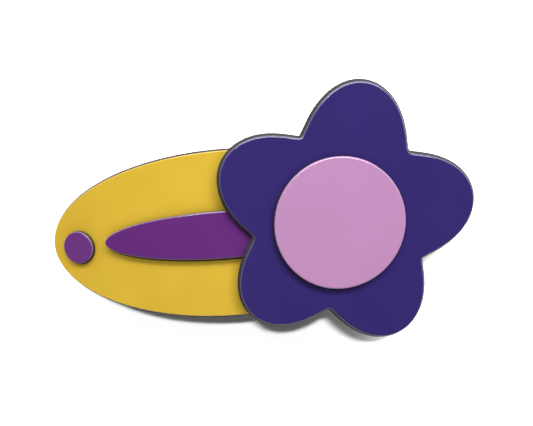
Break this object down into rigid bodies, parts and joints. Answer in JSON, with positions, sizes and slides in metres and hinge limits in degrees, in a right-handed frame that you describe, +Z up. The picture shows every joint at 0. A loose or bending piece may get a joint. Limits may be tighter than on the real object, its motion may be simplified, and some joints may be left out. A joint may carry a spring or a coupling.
{
  "type": "flower hair clip",
  "caption": "Curved oval barrette with a five-petal flower, layered glossy coloured sheets on its face and a hinged steel clasp on its back.",
  "frame": {"origin": "centre of the bottom of the bounding box, with the clip lying on its closed clasp, face up", "axes": "+X along the clip towards the flower, +Y across it, +Z up and out of the face"},
  "size_m": [0.1006, 0.0584, 0.0208],
  "materials": {
    "yellow_lacquer": "high gloss coloured face over a black core, softly rounded edge",
    "purple_lacquer": "high gloss coloured face over a black core, softly rounded edge",
    "violet_lacquer": "high gloss coloured face over a black core, softly rounded edge",
    "pink_lacquer": "high gloss coloured face over a black core, softly rounded edge",
    "steel": "nickel plated strip, fine drawing lines along its length",
    "spring_steel": "nickel plated spring strip"
  },
  "bodies": {
    "arm": {"clasp_arm": "steel"},
    "face": {"base_plate": "yellow_lacquer", "tongue": "purple_lacquer", "end_disc": "purple_lacquer", "flower": "violet_lacquer", "flower_centre": "pink_lacquer", "clasp_base": "steel", "hinge_pin": "steel", "rivet_left": "steel", "rivet_right": "steel"},
    "spring_bar": {"tension_bar": "spring_steel"},
    "prong_left": {"catch_prong_left": "spring_steel"},
    "prong_right": {"catch_prong_right": "spring_steel"}
  },
  "joints": [
    {"name": "face_hinge", "type": "hinge", "parent": "arm", "child": "face", "pos_m": [-0.0402, -0.00247, 0.0015], "axis": [0, -1, 0], "range_deg": [0, 42]},
    {"name": "bar_press", "type": "slide", "parent": "face", "child": "spring_bar", "axis": [0, 0, 1], "range_m": [0, 0.0006], "stiffness_N_per_m": 800},
    {"name": "prong_left_pinch", "type": "hinge", "parent": "face", "child": "prong_left", "pos_m": [0.02754, -0.00112, 0.00908], "axis": [-0.9767, 0, 0.2145], "range_deg": [0, 5], "stiffness_Nm_per_rad": 0.09},
    {"name": "prong_right_pinch", "type": "hinge", "parent": "face", "child": "prong_right", "pos_m": [0.02754, -0.00382, 0.00908], "axis": [0.9767, 0, -0.2145], "range_deg": [0, 5], "stiffness_Nm_per_rad": 0.09}
  ]
}
